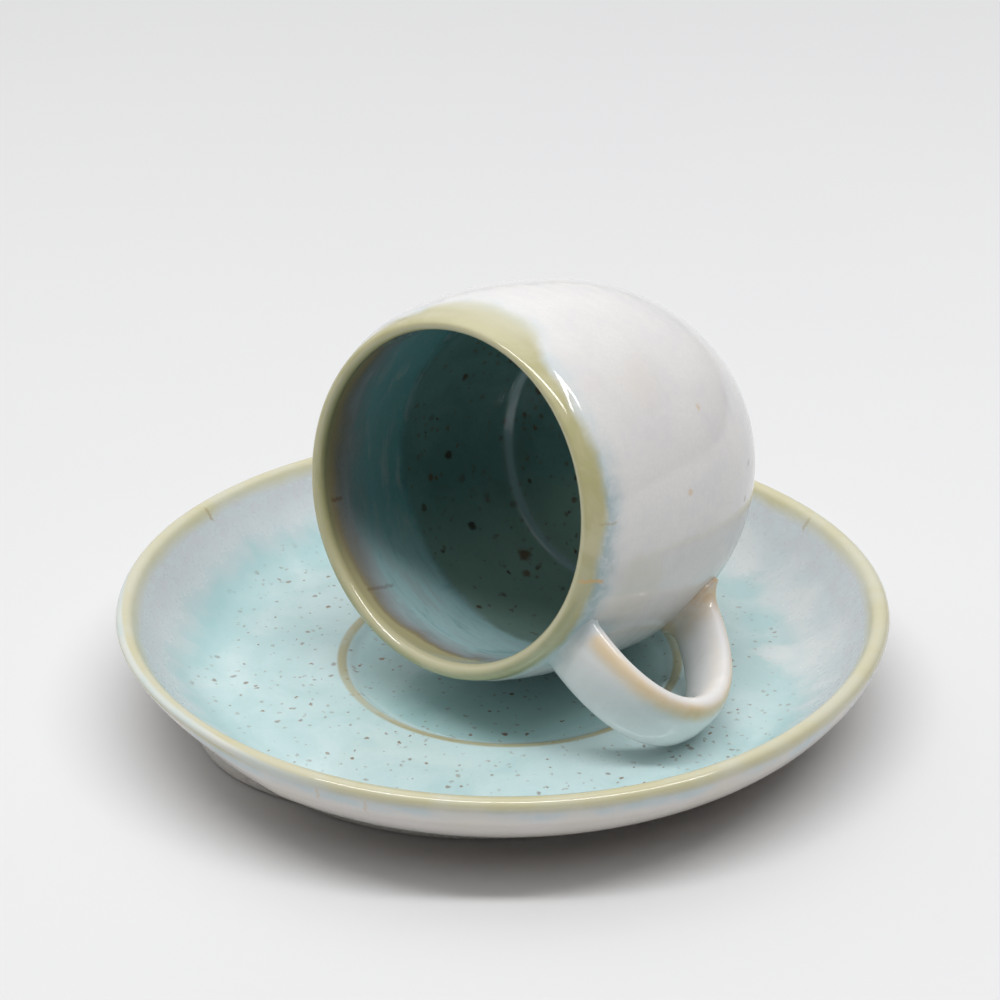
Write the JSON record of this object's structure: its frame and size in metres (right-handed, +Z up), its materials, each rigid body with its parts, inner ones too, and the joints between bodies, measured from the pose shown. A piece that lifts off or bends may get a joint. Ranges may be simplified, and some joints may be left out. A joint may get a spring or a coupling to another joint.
{
  "type": "espresso cup with saucer",
  "caption": "Thrown stoneware espresso cup with a pulled strap handle, lying on its side on its wide glazed saucer; the cup lifts off.",
  "frame": {"origin": "on the table, under the middle of the saucer", "axes": "+Z up, -Y the way the mouth of the cup points on the table, +X the side that the handle lies on"},
  "size_m": [0.123, 0.123, 0.0689],
  "materials": {
    "cup_glaze": "glossy off-white glaze",
    "saucer_glaze": "glossy speckled aqua glaze"
  },
  "bodies": {
    "saucer": {"saucer": "saucer_glaze"},
    "cup": {"cup_body": "cup_glaze", "cup_handle": "cup_glaze"}
  },
  "joints": [
    {"name": "cup_lift", "type": "slide", "parent": "saucer", "child": "cup", "axis": [0, 0, 1], "range_m": [0, 0.12]}
  ]
}
